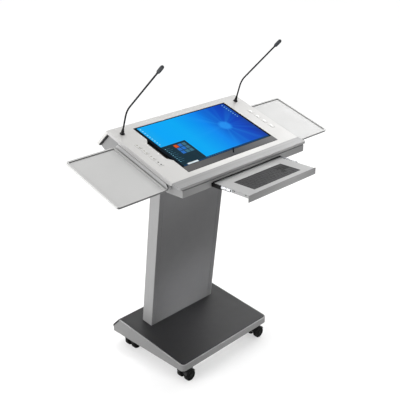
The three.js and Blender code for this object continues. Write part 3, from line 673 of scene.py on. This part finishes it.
def screen_layout():
    """Rectangles of the picture as (x0, x1, v0, v1, paint); a later one lies over an earlier one."""
    x0, x1, v0, v1 = PICTURE
    areas = [
        (-GLASS_HALF + GLASS_RIM, GLASS_HALF - GLASS_RIM, GLASS_FRONT + GLASS_RIM, STRIP_REAR, "strip"),
        (x0, x1, v0, v1, "wallpaper"),
        (x0, x1, v0, v0 + 0.0085, "bar"),
        (x0, MENU_RIGHT, v0 + 0.004, MENU_REAR, "panel"),
        (-0.2170, -0.1640, v0 + 0.0005, v0 + 0.0090, "white"),
    ]
    for row in range(9):  # desktop icons down the left side
        v = 0.3135 - row * 0.0138
        areas.append((-0.2325, -0.2265, v - 0.0028, v + 0.0028, "icon"))
    for row in range(8):  # and down the right side
        v = 0.3150 - row * 0.0128
        areas.append((0.2210, 0.2255, v - 0.0022, v + 0.0022, "icon"))
    for row in range(9):  # the open menu's entries: a mark and a line of three lengths in turn
        v = 0.084 + row * 0.0105
        length = 0.012 + 0.004 * ((row * 5) % 3)
        areas.append((-0.232, -0.229, v, v + 0.003, "icon"))
        areas.append((-0.224, -0.224 + length, v + 0.0008, v + 0.0022, "icon_dim"))
    for i, paint in enumerate(TILES):  # the menu's tiles, three to a row
        x, v = -0.186 + (i % 3) * 0.0205, 0.160 - (i // 3) * 0.0205
        areas.append((x, x + 0.017, v, v + 0.017, paint))
    for i in range(7):  # small marks on the bar
        x = -0.110 + i * 0.012
        areas.append((x, x + 0.004, v0 + 0.0024, v0 + 0.0058, "icon_dim"))
    for i in range(6):  # a slanting dark mark across the edge of the picture
        x, v = 0.0005 + i * 0.0044, 0.0385 + i * 0.0044
        areas.append((x, x + 0.0078, v, v + 0.0044, "tick"))
    return areas


def paint_at(areas, x, v):
    """Number of the paint at a place on the glass, where the last area drawn wins."""
    found = "bezel"
    for x0, x1, v0, v1, name in areas:
        if x0 < x < x1 and v0 < v < v1:
            found = name
    return SCREEN_PAINTS.index(found)


def make_screen():
    """The cover glass: its face is cut into cells along every edge of the picture."""
    areas = screen_layout()
    edges_x = sorted({-GLASS_HALF, GLASS_HALF, *(round(a, 6) for r in areas for a in r[0:2])})
    edges_v = sorted({GLASS_FRONT, GLASS_REAR, *(round(a, 6) for r in areas for a in r[2:4])})
    bm = bmesh.new()
    grid = [[bm.verts.new((x, v, GLASS_TOP)) for x in edges_x] for v in edges_v]
    for j, (va, vb) in enumerate(zip(edges_v, edges_v[1:])):
        for i, (xa, xb) in enumerate(zip(edges_x, edges_x[1:])):
            face = bm.faces.new((grid[j][i], grid[j][i + 1], grid[j + 1][i + 1], grid[j + 1][i]))
            face.material_index = paint_at(areas, (xa + xb) / 2, (va + vb) / 2)
    rim = [edge for edge in bm.edges if len(edge.link_faces) == 1]
    for item in bmesh.ops.extrude_edge_only(bm, edges=rim)["geom"]:
        if isinstance(item, bmesh.types.BMVert):
            item.co.z = GLASS_BOTTOM
        elif isinstance(item, bmesh.types.BMFace):
            item.material_index = 0
    bottom = [edge for edge in bm.edges if len(edge.link_faces) == 1]
    for face in bmesh.ops.edgeloop_fill(bm, edges=bottom)["faces"]:
        face.material_index = 0
    piece("screen_glass_lit", bm, "stand", SCREEN_PAINTS, ["display_glass"], world=DESK)


make_screen()


# ---------------------------------------------------------------- press keys
KEY_X = 0.311
KEY_V = (0.1115, 0.1505, 0.1895, 0.229)
KEY_SIZE = (0.018, 0.029)
KEY_TOP, KEY_COLLAR, KEY_BOTTOM = 0.0008, -0.003, -0.006
KEY_LEDGE = 0.0024  # by which the collar is wider than the cap
PRINT_SUNK, PRINT_PROUD = 0.0003, 0.00006
KEY_PAINTS = ["key", "key_mark", "key_mark_faint", "key_highlight"]


def key_outline(x, v, size, radius):
    width, length = size
    return rounded_rectangle(x - width / 2, x + width / 2, v - length / 2, v + length / 2, radius)


def key_prints(side, strong):
    """Marks on a keycap as (dx, dv, size, paint): a left key has two, a right key one and a white patch, a
    painted highlight.
    """
    if side > 0:
        mark = (-0.0055, -0.002, (0.0034, 0.0050), "key_mark")
        # a white patch: a painted highlight
        highlight = (0.0020, 0.002, (0.0072, 0.0120), "key_highlight")
        return [mark, highlight]
    paint = "key_mark" if strong else "key_mark_faint"
    return [(0, dv, (0.0064, 0.0060), paint) for dv in (-0.0075, 0.0075)]


def make_key(name, side, v, strong):
    """A keycap on its collar, with its printed marks and, on a right key, a painted highlight."""
    x = side * KEY_X
    collar = [length + KEY_LEDGE for length in KEY_SIZE]
    bm = bmesh.new()
    add_slab(bm, key_outline(x, v, KEY_SIZE, 0.004), KEY_COLLAR, KEY_TOP, taper=0.0003)
    add_slab(bm, key_outline(x, v, collar, 0.005), KEY_BOTTOM, KEY_COLLAR)
    for dx, dv, size, paint in key_prints(side, strong):
        outline = key_outline(x + dx, v + dv, size, 0.0012)
        number = KEY_PAINTS.index(paint)
        add_slab(bm, outline, KEY_TOP - PRINT_SUNK, KEY_TOP + PRINT_PROUD, material=number)
    piece(f"{name}_cap", bm, name, KEY_PAINTS, [name], bevel=0.0004, world=DESK)


for side, sign in SIDES:
    for number, v in enumerate(KEY_V, 1):
        make_key(f"key_{side}_{number}", sign, v, strong=number == 1)


# ---------------------------------------------------------------- microphones
MIC_X, MIC_V = 0.312, 0.3205
MIC_ELBOW = 0.099
MIC_BEND = math.radians(27.8)
MIC_BEND_RADIUS = 0.108
MIC_NECK_RADIUS = 0.0032
MIC_RIB = 0.00011
MIC_CUT = 0.066  # height at which the foot of the neck meets the rest of it
MIC_UPPER = 0.237
MIC_STEP = 0.0006
FOAM_FOOT = 8.2  # mm up the head
# (radius, height) of the lathed parts, in mm
SOCKET_PROFILE = [(0, -14), (4.6, -14), (4.6, 0.3), (9.2, 0.3), (9.6, 0.8), (9.6, 2.2), (9.0, 3.0)]
SOCKET_PROFILE += [(7.0, 3.5), (6.2, 4.6), (5.6, 8.0), (5.0, 12.0), (4.5, 17.0), (4.1, 22.2), (3.7, 23.0)]
SOCKET_PROFILE += [(0, 23.0)]
SOCKET_RING = [(5.1, -0.4), (5.9, -0.3), (5.9, 0.3), (5.1, 0.4), (5.1, -0.4)]
HEAD_PROFILE = [(0, -1.0), (3.9, -1.0), (4.3, 0.0), (4.3, 1.6), (5.6, 3.0), (6.5, 5.4), (6.7, 6.4)]
HEAD_PROFILE += [(6.3, 6.9), (6.3, 7.6), (6.9, FOAM_FOOT), (7.1, 10.0), (7.1, 30.0), (6.9, 33.0), (6.3, 35.8)]
HEAD_PROFILE += [(5.0, 37.9), (3.0, 38.9), (0, 39.0)]


def spaced(start, end):
    """Even steps of about MIC_STEP, with both ends."""
    count = max(1, round((end - start) / MIC_STEP))
    return [start + (end - start) * i / count for i in range(count + 1)]


def neck_path():
    """Points up the bent neck, in the microphone's own frame, and the direction in which it ends."""
    reach = MIC_BEND_RADIUS * math.tan(MIC_BEND / 2)
    lower_end = MIC_ELBOW - reach
    path = [Vector((0, 0, z)) for z in spaced(0.018, lower_end)]
    for s in spaced(0, MIC_BEND_RADIUS * MIC_BEND)[1:]:
        angle = s / MIC_BEND_RADIUS
        away = MIC_BEND_RADIUS * (1 - math.cos(angle))
        path.append(Vector((0, -away, lower_end + MIC_BEND_RADIUS * math.sin(angle))))
    direction = Vector((0, -math.sin(MIC_BEND), math.cos(MIC_BEND)))
    start = path[-1]
    path += [start + direction * s for s in spaced(0, MIC_UPPER + 0.003 - reach)[1:]]
    return path, direction


def make_gooseneck(name, points, stands_for, foot):
    """A stretch of the neck whose coils show as fine rings, four points to a ring."""
    radii = [MIC_NECK_RADIUS + MIC_RIB * math.cos(2 * math.pi * i / 4) for i in range(len(points))]
    bm = bmesh.new()
    add_tube(bm, points, radii, 18)
    return piece(name, bm, None, ["mic"], [stands_for], world=foot)


def make_mic_socket(side, foot):
    bm = bmesh.new()
    add_lathe(bm, in_metres(SOCKET_PROFILE), 48)
    for height in (9.0, 11.0, 13.0):
        add_lathe(bm, in_metres([(r, height + h) for r, h in SOCKET_RING]), 48)
    piece(f"mic_{side}_socket", bm, "stand", ["mic"], [f"mic_{side}_base"],
          bevel=0.0002, world=foot)


def make_mic_head(side, place):
    """The head: a bare collar, then the foam windscreen."""
    bm = bmesh.new()
    add_lathe(bm, in_metres(HEAD_PROFILE), 40)
    for face in bm.faces:
        face.material_index = 1 if face.calc_center_median().z > FOAM_FOOT * MM else 0
    piece(f"mic_{side}_windscreen", bm, f"mic_{side}_upper", ["mic", "foam"],
          [f"mic_{side}_head"], world=place)


def make_microphone(side, sign):
    foot = DESK @ Matrix.Translation((sign * MIC_X, MIC_V, 0))
    make_mic_socket(side, foot)

    path, direction = neck_path()
    cut = min(range(len(path)), key=lambda i: abs(path[i].z - MIC_CUT))
    lower = make_gooseneck(f"mic_{side}_gooseneck_foot", path[: cut + 1], f"mic_{side}_neck_lower", foot)
    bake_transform(lower)

    upper = make_gooseneck(f"mic_{side}_gooseneck", path[cut:], f"mic_{side}_neck_upper", foot)
    elbow = Vector((0, 0, MIC_ELBOW))
    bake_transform(upper)

    bend = Matrix.Translation(elbow) @ Matrix.Rotation(MIC_BEND, 4, "X")
    make_mic_head(side, foot @ bend @ Matrix.Translation((0, 0, MIC_UPPER)))


on_both_sides(make_microphone)


# ---------------------------------------------------------------- casters
STEM_X, TRAIL = 0.199, 0.018
CASTER_Y = {"front": -0.060, "rear": 0.2667}
CASTER_TOP = 0.0616
WHEEL_RADIUS, WHEEL_SPACING = 0.025, 0.040
HOOD_END = 0.0280  # how far the hoods reach over the wheels
HOOD_GAP, HOOD_THICKNESS = 0.0014, 0.0020
HALF_WEB = WHEEL_SPACING / 2 - 0.0096
SCREW_SPREAD = 0.0152
# (radius, height) of the lathed parts, and (ahead of the stem, height) of the fork's side outline, in mm
TREAD_PROFILE = [(3.4, -8.8), (9.0, -8.8), (10.2, -8.2), (11.2, -6.2), (19.6, -6.2), (20.8, -8.0)]
TREAD_PROFILE += [(21.4, -8.7), (22.4, -9.0), (23.6, -8.7), (24.6, -7.6), (25.0, -6.0)]
AXLE_HALF = [(3.0, 28.2), (2.9, 28.8), (1.8, 29.3), (0, 29.4)]
RACE_PROFILE = [(0, 56.1), (9.0, 56.1), (10.5, 57.2), (11.5, 59.2), (0, 59.2)]
STEM_PROFILE = [(0, 33), (3.6, 33), (4.0, 33.6), (4.0, 57), (0, 57)]
HEAD_OF_SCREW = [(0, 56.9), (2.0, 57.1), (3.0, 57.8), (3.3, 59.1), (0, 59.1)]
FORK_OUTLINE = [(-11, 55.5), (-11, 40), (-9, 33), (-3, 26), (6, 18), (13, 15), (22, 15)]
FORK_OUTLINE += [(27, 19), (29, 27), (28, 38), (24, 47), (17, 53), (11, 55.5)]


def mirrored(profile):
    return [(r, -h) for r, h in reversed(profile)]


def make_wheel(name, centre, outward):
    """A tread with rounded shoulders and six ribs on each face of its web."""
    bm = bmesh.new()
    ring = TREAD_PROFILE + mirrored(TREAD_PROFILE) + TREAD_PROFILE[:1]
    add_lathe(bm, in_metres(ring), 64)
    for k in range(6):
        turn = Matrix.Rotation(2 * math.pi * k / 6, 4, "Z")
        for h0, h1 in ((-0.0076, -0.0058), (0.0058, 0.0076)):
            add_box(bm, (0.0095, -0.0009, h0), (0.0204, 0.0009, h1), matrix=turn)
    world = Matrix.Translation(centre) @ Matrix.Rotation(QUARTER_TURN * outward, 4, "X")
    piece(f"{name}_tread", bm, name, ["tyre"], [name], bevel=0.0002, world=world)


def make_fork(corner, x, y, side):
    """The moulded web between two wheels, with a hood over each and the axle's domed ends."""
    bm = bmesh.new()
    web = [(x + side * ahead * MM, height * MM) for ahead, height in FORK_OUTLINE]
    place = Matrix.Translation((0, y, 0)) @ UPRIGHT
    add_slab(bm, web[::side], -HALF_WEB, HALF_WEB, matrix=place)
    cx, cz = x + side * TRAIL, WHEEL_RADIUS
    inner = WHEEL_RADIUS + HOOD_GAP
    hood = arched_band(cx, cz, inner, inner + HOOD_THICKNESS, 22, 158, 22)
    root = HALF_WEB - 0.4 * MM
    for near, far in ((-HOOD_END, -root), (root, HOOD_END)):
        add_slab(bm, hood, near, far, matrix=place)
    along = Matrix.Translation((cx, y, cz)) @ Matrix.Rotation(QUARTER_TURN, 4, "X")
    add_lathe(bm, in_metres(mirrored(AXLE_HALF) + AXLE_HALF), 24, matrix=along)
    piece(f"caster_{corner}_hood", bm, f"caster_{corner}_swivel", ["black"],
          [f"caster_{corner}_fork"], bevel=0.0006)


def make_caster_plate(corner, x, y):
    """The fixing plate with its raceway, stem and four screw heads."""
    bm = bmesh.new()
    plate = rounded_rectangle(x - 0.020, x + 0.020, y - 0.020, y + 0.020, 0.005)
    add_slab(bm, plate, CASTER_TOP - 0.0027, CASTER_TOP)
    here = Matrix.Translation((x, y, 0))
    add_lathe(bm, in_metres(RACE_PROFILE), 40, matrix=here)
    add_lathe(bm, in_metres(STEM_PROFILE), 24, matrix=here)
    for dx in (-SCREW_SPREAD, SCREW_SPREAD):
        for dy in (-SCREW_SPREAD, SCREW_SPREAD):
            spot = Matrix.Translation((x + dx, y + dy, 0))
            add_lathe(bm, in_metres(HEAD_OF_SCREW), 20, matrix=spot)
    piece(f"caster_{corner}_mount", bm, "stand", ["zinc"], [f"caster_{corner}_plate"], bevel=0.0003)


for corner in CORNERS:
    end, side = corner.split("_")
    sign = -1 if side == "left" else 1
    x, y = sign * STEM_X, CASTER_Y[end]
    make_caster_plate(corner, x, y)
    make_fork(corner, x, y, sign)
    for number, outward in ((1, 1), (2, -1)):
        centre = Vector((x + sign * TRAIL, y - outward * WHEEL_SPACING / 2, WHEEL_RADIUS))
        make_wheel(f"caster_{corner}_wheel_{number}", centre, outward)


# ---------------------------------------------------------------- keyboard drawer
DECK_Z = 0.888
KEYBOARD = (-0.1325, 0.1325, -0.321, -0.225)
KEYBOARD_TOP = DECK_Z - 0.0003
KEYBOARD_RIM, KEYBOARD_MARGIN = 0.0022, 0.0010
CAP_FOOT, CAP_TOP = KEYBOARD_TOP - 0.0012, KEYBOARD_TOP - 0.0005
KEY_GAP = 0.00035
KEY_ROWS = (  # widths of the caps in each row, from the back of the keyboard to the front
    [1.0] * 15,
    [1.0] * 13 + [2.0],
    [1.5] + [1.0] * 12 + [1.5],
    [1.75] + [1.0] * 11 + [2.25],
    [2.25] + [1.0] * 10 + [1.75, 1.0],
    [1.25] * 3 + [6.25] + [1.25] * 4,
)
BLACK_CAPS = ((1, 12), (1, 13), (2, 12), (2, 13), (3, 11))  # (row, place in the row)


def add_rim(bm, x0, x1, y0, y1):
    """The raised rim round the keyboard, as four bars."""
    rim = KEYBOARD_RIM
    bars = ((x0, x1, y0, y0 + rim), (x0, x1, y1 - rim, y1))
    bars += ((x0, x0 + rim, y0 + rim, y1 - rim), (x1 - rim, x1, y0 + rim, y1 - rim))
    for left, right, near, far in bars:
        add_box(bm, (left, near, KEYBOARD_TOP - 0.0015), (right, far, KEYBOARD_TOP))


def make_keyboard():
    """A low keyboard: a frame with a rim and six rows of flat caps."""
    x0, x1, y0, y1 = KEYBOARD
    bm = bmesh.new()
    add_slab(bm, rounded_rectangle(x0, x1, y0, y1, 0.002), KEYBOARD_TOP - 0.0107, KEYBOARD_TOP - 0.0011)
    add_rim(bm, x0, x1, y0, y1)
    edge = KEYBOARD_RIM + KEYBOARD_MARGIN
    row_width = x1 - x0 - 2 * edge
    row_depth = (y1 - y0 - 2 * edge) / len(KEY_ROWS)
    for row, widths in enumerate(KEY_ROWS):
        unit = row_width / sum(widths)
        x = x0 + edge
        far = y1 - edge - row * row_depth
        near = far - row_depth
        for place, width in enumerate(widths):
            end = x + width * unit
            paint = 2 if (row, place) in BLACK_CAPS else 1
            cap = rounded_rectangle(x + KEY_GAP, end - KEY_GAP, near + KEY_GAP, far - KEY_GAP, 0.0012, 3)
            add_slab(bm, cap, CAP_FOOT, CAP_TOP, material=paint, taper=0.0003)
            x = end
    paints = ["keyboard", "keycap", "keycap_black"]
    piece("keyboard_keys", bm, "drawer", paints, ["keyboard"], bevel=0.0002)


def add_screw(bm, centre, axis, radius, height):
    """A domed screw head that points along axis."""
    turn = Vector(axis).to_track_quat("Z", "Y").to_matrix().to_4x4()
    profile = [(0, -0.2 * height), (radius, -0.2 * height), (radius, 0.25 * height)]
    profile += [(0.85 * radius, 0.7 * height), (0.5 * radius, height), (0, height)]
    add_lathe(bm, profile, 24, matrix=Matrix.Translation(centre) @ turn)


def make_drawer_details(side, sign):
    """Two screws in a side of the tray, and the stop at the front of its slide."""
    screws = bmesh.new()
    for y in (-0.2763, -0.3290):
        add_screw(screws, (sign * 0.186, y, SLIDE_Z + 0.0005), (sign, 0, 0), 0.0026, 0.0012)
    piece(f"drawer_screws_{side}", screws, "drawer", ["housing"], bevel=0.0001)
    stop = bmesh.new()
    outline = rounded_rectangle(-0.2655, -0.2580, SLIDE_Z - 0.0044, SLIDE_Z + 0.0044, 0.0034)
    add_slab(stop, outline, *sorted((sign * 0.1863, sign * 0.1912)), matrix=SIDEWAYS)
    piece(f"drawer_stop_{side}", stop, "drawer", ["black"], bevel=0.0006)


def make_bay_seal_and_shade():
    """The black edge guard and brush strip along the top of the drawer's opening; their black also stands in
    for the shade in the gap over the deck, a painted shade.
    """
    bm = bmesh.new()
    add_box(bm, (-0.1905, -0.1812, 0.8897), (0.1905, -0.1781, 0.8934))
    add_box(bm, (-0.1850, -0.1768, 0.8887), (0.1850, -0.1742, 0.8914))
    for i in range(92):
        x = -0.1840 + i * 0.0040
        add_box(bm, (x, -0.1771, 0.8886), (x + 0.0024, -0.1767, 0.8912))
    piece("drawer_bay_seal_and_shade", bm, "stand", ["black"])


def make_slide_balls(side, sign):
    """Steel balls held in a cage, in two rows."""
    bm = bmesh.new()
    for i in range(9):
        y = -0.210 + i * 0.018
        for z in (SLIDE_Z - 0.0066, SLIDE_Z + 0.0066):
            place = Matrix.Translation((sign * 0.1920, y, z))
            bmesh.ops.create_uvsphere(bm, u_segments=12, v_segments=8, radius=0.0011, matrix=place)
    piece(f"slide_balls_{side}", bm, "slide_cages", ["zinc"])


def make_slide_rivets(side, sign):
    """Dark rivets in the web of a middle member."""
    bm = bmesh.new()
    head = [(0, -0.0001), (0.0019, -0.0001), (0.0019, 0.0001), (0.0013, 0.00016), (0, 0.00016)]
    outward = Matrix.Rotation(QUARTER_TURN * sign, 4, "Y")
    for y in (-0.242, -0.150, -0.060):
        add_lathe(bm, head, 20, matrix=Matrix.Translation((sign * 0.1928, y, SLIDE_Z)) @ outward)
    piece(f"slide_rivets_{side}", bm, "slide_middles", ["black"])


make_keyboard()
on_both_sides(make_drawer_details)
make_bay_seal_and_shade()
on_both_sides(make_slide_balls)
on_both_sides(make_slide_rivets)


# ---------------------------------------------------------------- small fittings
RAIL_END = (0.020, -0.0275)  # middle of the rail's round front end, in the desk's own frame
EDGING = [(0.3065, 0.1265), (0.3065, 0.1355), (0.3482, 0.0917), (0.3482, 0.0827)]  # as (y, z)
COVER_DEPTH = 0.0581  # from the column's front panel back to its rear cover


def make_rail_cap_and_shadow(side, sign):
    """A black cap round the front end of a shelf rail; its thin dark arc also stands in for the shadow in the
    gap round the rail's end, a painted shadow.
    """
    bm = bmesh.new()
    outline = arched_band(*RAIL_END, 0.0111, 0.0122, 90, 270, 24)
    add_slab(bm, outline, *sorted((sign * 0.3550, sign * 0.3592)), matrix=DESK @ SIDEWAYS)
    piece(f"shelf_rail_cap_and_shadow_{side}", bm, "stand", ["black"], bevel=0.0002)


def make_rail_filler(side, sign):
    """The strip that closes the gap between the top cover's flange and the rail under it."""
    bm = bmesh.new()
    x0, x1 = sorted((sign * 0.3413, sign * 0.3516))
    add_box(bm, (x0, 0.0095, -0.0162), (x1, 0.2935, -0.0123))
    piece(f"shelf_rail_filler_{side}", bm, "stand", ["rail"], bevel=0.0003, world=DESK)


def make_base_edging(side, sign):
    """The dark rubber edging at an end of the base's rear slope."""
    bm = bmesh.new()
    add_slab(bm, EDGING, *sorted((sign * 0.2612, sign * 0.2624)), matrix=SIDEWAYS)
    piece(f"base_edging_{side}", bm, "stand", ["black"], bevel=0.0002)


def make_cover_screws():
    """Screws that hold the column's rear cover."""
    bm = bmesh.new()
    normal = Vector((0, 1.0, COLUMN_LEAN)).normalized()
    for x in (-0.132, 0.132):
        for z in (0.212, 0.500, 0.788):
            y = COLUMN_FOOT_Y - COLUMN_LEAN * z + COVER_DEPTH
            add_screw(bm, (x, y, z), normal, 0.0038, 0.0018)
    piece("column_cover_screws", bm, "stand", ["zinc"], bevel=0.0002)


on_both_sides(make_rail_cap_and_shadow)
on_both_sides(make_rail_filler)
on_both_sides(make_base_edging)
make_cover_screws()


# ---------------------------------------------------------------- floor, lights and camera
FLOOR_SIZE = 120.0
CAMERA_PLACE = (-1.9202, -1.8006, 1.8478)
CAMERA_PITCH = math.radians(90 - 23.379)
CAMERA_YAW = math.radians(-45.722)
CAMERA_LENS = 64.85
FLOOR_GLOW = 0.5  # the floor gives off a little light, so that it stays pale where the part shades it
WORLD_GLOW = 0.20
SUN = {"strength": 2.6, "angle": math.radians(80), "towards": (0.15, 0.3, 1.0)}
LIGHTS = (  # name, place, target, size, power and spread of the beam in degrees
    ("left_softbox", (-4.2, 0.9, 1.4), (0, 0.1, 0.6), (2.4, 2.4), 168, 180),
    ("front_softbox", (0.9, -3.2, 2.3), (0, 0.1, 0.4), (1.6, 1.2), 15, 180),
    ("column_wash", (0.25, -1.95, 1.55), (0, 0.172, 0.12), (0.42, 0.14), 0.66, 13),
    ("drawer_wash", (0.60, -2.3, 1.25), (0.00, -0.19, 0.9), (0.3, 0.14), 0.18, 12),
    ("right_softbox", (2.95, 0.45, 2.75), (0.2, 0, 0.9), (1.8, 1.8), 44, 180),
)


def make_floor():
    bm = bmesh.new()
    bmesh.ops.create_grid(bm, x_segments=1, y_segments=1, size=FLOOR_SIZE / 2)
    mesh = bpy.data.meshes.new("floor")
    bm.to_mesh(mesh)
    bm.free()
    s = Shader("floor_pale")
    s.feed(s.surface, Base_Color=s.ramp(s.noise(0.6), ((0.3, linear(FLOOR_LOW)), (0.7, linear(FLOOR_HIGH)))))
    s.fixed(Roughness=0.9, Emission_Color=linear("#ffffff"), Emission_Strength=FLOOR_GLOW)
    mesh.materials.append(s.material)
    floor = bpy.data.objects.new("floor", mesh)
    bpy.context.scene.collection.objects.link(floor)


def make_light(name, place, target, size, power, spread):
    """A rectangular light that faces its target."""
    data = bpy.data.lights.new(name, "AREA")
    data.shape = "RECTANGLE"
    data.size, data.size_y = size
    data.energy = power
    data.spread = math.radians(spread)
    light = bpy.data.objects.new(name, data)
    light.location = place
    light.rotation_euler = (Vector(target) - Vector(place)).to_track_quat("-Z", "Y").to_euler()
    bpy.context.scene.collection.objects.link(light)


def make_sun(strength, angle, towards):
    """A wide overhead light, even across the whole floor; towards points at it."""
    data = bpy.data.lights.new("overhead", "SUN")
    data.energy = strength
    data.angle = angle
    light = bpy.data.objects.new("overhead", data)
    light.rotation_euler = Vector(towards).to_track_quat("Z", "Y").to_euler()
    bpy.context.scene.collection.objects.link(light)


def make_world(strength):
    world = bpy.data.worlds.new("studio")
    world.use_nodes = True
    background = world.node_tree.nodes["Background"]
    background.inputs["Color"].default_value = (1, 1, 1, 1)
    background.inputs["Strength"].default_value = strength
    bpy.context.scene.world = world


def make_camera():
    data = bpy.data.cameras.new("camera")
    data.lens = CAMERA_LENS
    data.sensor_width = 36
    camera = bpy.data.objects.new("camera", data)
    camera.location = CAMERA_PLACE
    camera.rotation_euler = (CAMERA_PITCH, 0, CAMERA_YAW)
    bpy.context.scene.collection.objects.link(camera)
    bpy.context.scene.camera = camera


make_floor()
make_world(WORLD_GLOW)
make_sun(**SUN)
for light in LIGHTS:
    make_light(*light)
make_camera()
bpy.context.scene.view_settings.view_transform = "Standard"
bpy.context.scene.view_settings.look = "None"
